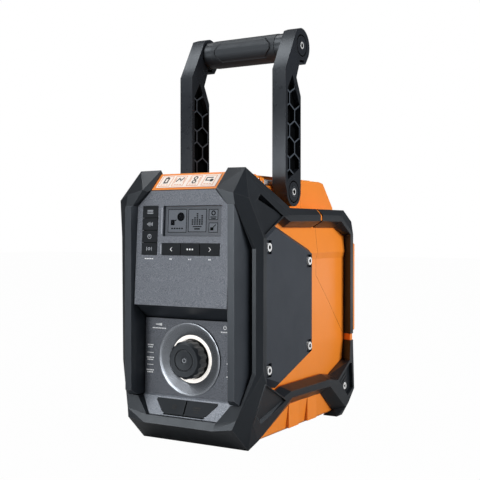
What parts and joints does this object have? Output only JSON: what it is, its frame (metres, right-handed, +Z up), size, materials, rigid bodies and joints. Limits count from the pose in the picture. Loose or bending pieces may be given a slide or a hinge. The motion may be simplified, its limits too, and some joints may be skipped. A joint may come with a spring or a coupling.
{
  "type": "jobsite radio",
  "caption": "Portable jobsite radio with a bumper frame, folding honeycomb handle, leaning control panel with a dial, side speakers, folding antenna and rear battery bay.",
  "frame": {"origin": "on the floor under the middle of the radio's bounding box", "axes": "+Z up, -Y towards the control panel, +Y towards the battery door, +X to the right of someone facing the panel"},
  "size_m": [0.171, 0.27, 0.433],
  "materials": {
    "housing_orange": "satin",
    "bumper_charcoal": "fine texture",
    "rubber_black": "matte",
    "fascia_grey": "metallic speckle",
    "panel_grey": "fine texture",
    "plastic_black": "satin",
    "label_white": "gloss",
    "lens_clear": "clear",
    "display_grey": "satin",
    "button_black": "matte",
    "bezel_metallic": "metallic satin",
    "light_white": "diffuse",
    "board_green": "satin",
    "steel": "satin",
    "plate_metal": "fine texture",
    "paper_cone": "matte",
    "magnet_iron": "matte",
    "terminal_brass": "satin"
  },
  "bodies": {
    "radio": {"main_housing": "housing_orange", "rear_housing": "housing_orange", "front_bumper": "bumper_charcoal", "rear_rail_right": "bumper_charcoal", "rear_rail_left": "bumper_charcoal", "corner_guard_right": "bumper_charcoal", "corner_guard_left": "bumper_charcoal", "guard_screws": "steel", "feature_label": "label_white", "control_housing": "panel_grey", "upper_fascia": "fascia_grey", "lower_fascia": "panel_grey", "display_lens": "lens_clear", "display_module": "display_grey", "keypad_board": "board_green", "dial_bezel": "bezel_metallic", "light_ring": "light_white", "control_board": "board_green", "encoder_body": "steel", "port_pins": "steel", "usb_socket": "steel", "aux_socket": "plastic_black", "speaker_plate_right": "plate_metal", "speaker_plate_left": "plate_metal", "plate_screws": "steel", "speaker_baskets": "plastic_black", "speaker_cones": "paper_cone", "speaker_magnets": "magnet_iron", "battery_tray": "plastic_black", "battery_pack": "plastic_black", "terminal_block": "terminal_brass", "main_board": "board_green", "door_pin": "steel", "dc_inlet": "plastic_black", "case_screws": "steel", "pivot_bolts": "steel", "antenna_pin": "steel"},
    "handle": {"handle_arm_right": "bumper_charcoal", "handle_arm_left": "bumper_charcoal", "grip_core": "bumper_charcoal", "grip_sleeve": "rubber_black", "grip_bolts": "steel"},
    "dial_push": {"encoder_plunger": "plastic_black"},
    "dial": {"dial_shaft": "steel", "dial_knob": "rubber_black"},
    "mode_key_1": {"mode_button_1": "button_black"},
    "mode_key_2": {"mode_button_2": "button_black"},
    "mode_key_3": {"mode_button_3": "button_black"},
    "mode_key_4": {"mode_button_4": "button_black"},
    "preset_key_1": {"preset_button_1": "button_black"},
    "preset_key_2": {"preset_button_2": "button_black"},
    "preset_key_3": {"preset_button_3": "button_black"},
    "aux_cover": {"aux_flap": "rubber_black"},
    "usb_cover": {"usb_flap": "rubber_black"},
    "antenna": {"antenna_knuckle": "plastic_black", "mast_lower": "steel"},
    "antenna_middle": {"mast_middle": "steel"},
    "antenna_tip": {"mast_tip": "steel"},
    "door": {"battery_door": "housing_orange"},
    "latch": {"door_latch": "bumper_charcoal"}
  },
  "joints": [
    {"name": "handle_fold", "type": "hinge", "parent": "radio", "child": "handle", "pos_m": [0, -0.014, 0.2566], "axis": [-1, 0, 0], "range_deg": [0, 90]},
    {"name": "dial_press", "type": "slide", "parent": "radio", "child": "dial_push", "axis": [0, 1, 0], "range_m": [0, 0.0008], "stiffness_N_per_m": 1500, "springref_m": -0.0015},
    {"name": "dial_turn", "type": "hinge", "parent": "dial_push", "child": "dial", "pos_m": [0, -0.115, 0.086], "axis": [0, -1, 0], "continuous": true},
    {"name": "mode_key_1_press", "type": "slide", "parent": "radio", "child": "mode_key_1", "axis": [0, 0.9982, -0.0605], "range_m": [0, 0.0012], "stiffness_N_per_m": 400, "springref_m": -0.001},
    {"name": "mode_key_2_press", "type": "slide", "parent": "radio", "child": "mode_key_2", "axis": [0, 0.9982, -0.0605], "range_m": [0, 0.0012], "stiffness_N_per_m": 400, "springref_m": -0.001},
    {"name": "mode_key_3_press", "type": "slide", "parent": "radio", "child": "mode_key_3", "axis": [0, 0.9982, -0.0605], "range_m": [0, 0.0012], "stiffness_N_per_m": 400, "springref_m": -0.001},
    {"name": "mode_key_4_press", "type": "slide", "parent": "radio", "child": "mode_key_4", "axis": [0, 0.9982, -0.0605], "range_m": [0, 0.0012], "stiffness_N_per_m": 400, "springref_m": -0.001},
    {"name": "preset_key_1_press", "type": "slide", "parent": "radio", "child": "preset_key_1", "axis": [0, 0.9982, -0.0605], "range_m": [0, 0.0012], "stiffness_N_per_m": 400, "springref_m": -0.001},
    {"name": "preset_key_2_press", "type": "slide", "parent": "radio", "child": "preset_key_2", "axis": [0, 0.9982, -0.0605], "range_m": [0, 0.0012], "stiffness_N_per_m": 400, "springref_m": -0.001},
    {"name": "preset_key_3_press", "type": "slide", "parent": "radio", "child": "preset_key_3", "axis": [0, 0.9982, -0.0605], "range_m": [0, 0.0012], "stiffness_N_per_m": 400, "springref_m": -0.001},
    {"name": "aux_cover_hinge", "type": "hinge", "parent": "radio", "child": "aux_cover", "pos_m": [-0.0125, -0.12295, 0.03152], "axis": [1, 0, 0], "range_deg": [0, 90]},
    {"name": "usb_cover_hinge", "type": "hinge", "parent": "radio", "child": "usb_cover", "pos_m": [0.0125, -0.12295, 0.03152], "axis": [1, 0, 0], "range_deg": [0, 90]},
    {"name": "antenna_fold", "type": "hinge", "parent": "radio", "child": "antenna", "pos_m": [0.042, -0.05, 0.2662], "axis": [1, 0, 0], "range_deg": [0, 90]},
    {"name": "antenna_middle_slide", "type": "slide", "parent": "antenna", "child": "antenna_middle", "axis": [0, 1, 0], "range_m": [0, 0.095]},
    {"name": "antenna_tip_slide", "type": "slide", "parent": "antenna_middle", "child": "antenna_tip", "axis": [0, 1, 0], "range_m": [0, 0.095]},
    {"name": "door_hinge", "type": "hinge", "parent": "radio", "child": "door", "pos_m": [0, 0.1262, 0.0824], "axis": [-1, 0, 0], "range_deg": [0, 100]},
    {"name": "latch_slide", "type": "slide", "parent": "door", "child": "latch", "axis": [0, 0, -1], "range_m": [0, 0.003], "stiffness_N_per_m": 400, "springref_m": -0.003}
  ]
}
